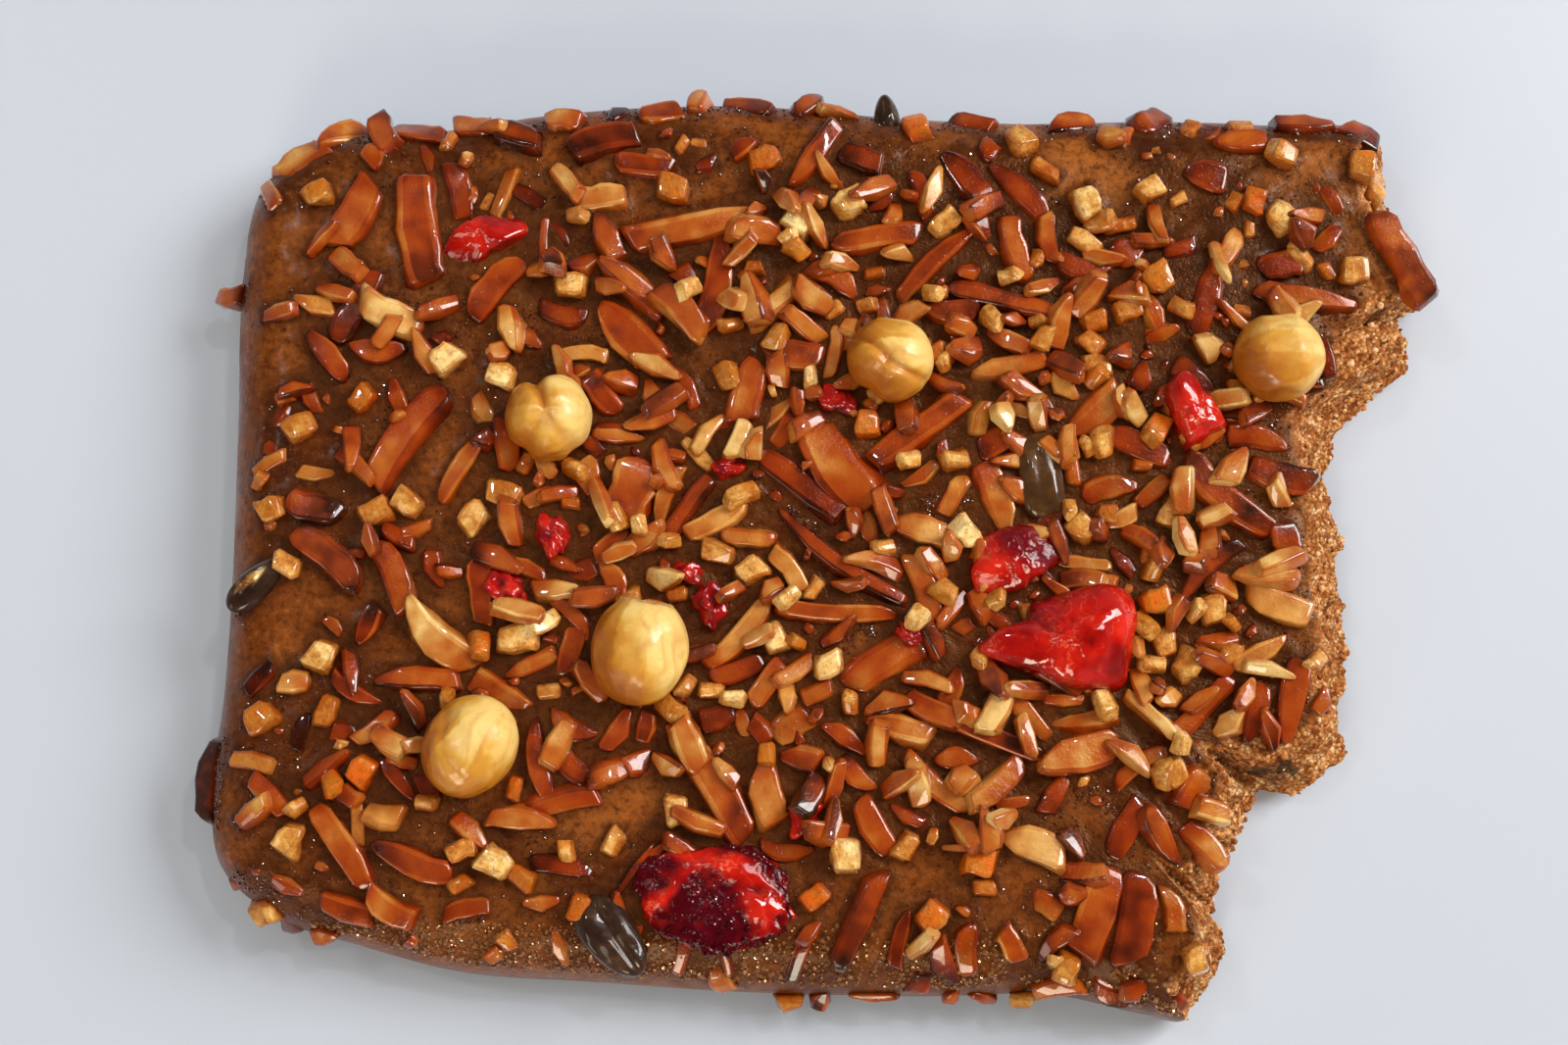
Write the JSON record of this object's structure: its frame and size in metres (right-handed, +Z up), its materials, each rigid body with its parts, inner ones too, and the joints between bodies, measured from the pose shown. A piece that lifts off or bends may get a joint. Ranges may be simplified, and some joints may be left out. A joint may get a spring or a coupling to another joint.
{
  "type": "gingerbread slab",
  "caption": "Baked gingerbread slab with rounded edges and one broken side, its glazed top strewn with almond slivers, diced peel, hazelnuts, candied cherries and pumpkin seeds.",
  "frame": {"origin": "middle of the part's box, on the surface it lies on", "axes": "+X along the slab's length, towards the broken side; +Y across it, away from the near edge; +Z up out of the glazed top"},
  "size_m": [0.1746, 0.1311, 0.0241],
  "materials": {
    "dough": "glazed brown baked dough, matte crumb on the broken side",
    "hazelnut": "blanched and toasted kernel under a thin glaze",
    "cherry": "glossy candied fruit",
    "pumpkin_seed": "dark roasted seed under glaze"
  },
  "bodies": {
    "root": {"gingerbread": "dough", "hazelnut_1": "hazelnut", "hazelnut_2": "hazelnut", "hazelnut_3": "hazelnut", "hazelnut_4": "hazelnut", "hazelnut_5": "hazelnut", "cherry_1": "cherry", "cherry_2": "cherry", "cherry_3": "cherry", "cherry_4": "cherry", "cherry_5": "cherry", "pumpkin_seed_1": "pumpkin_seed", "pumpkin_seed_2": "pumpkin_seed", "pumpkin_seed_3": "pumpkin_seed", "pumpkin_seed_4": "pumpkin_seed"}
  },
  "joints": []
}
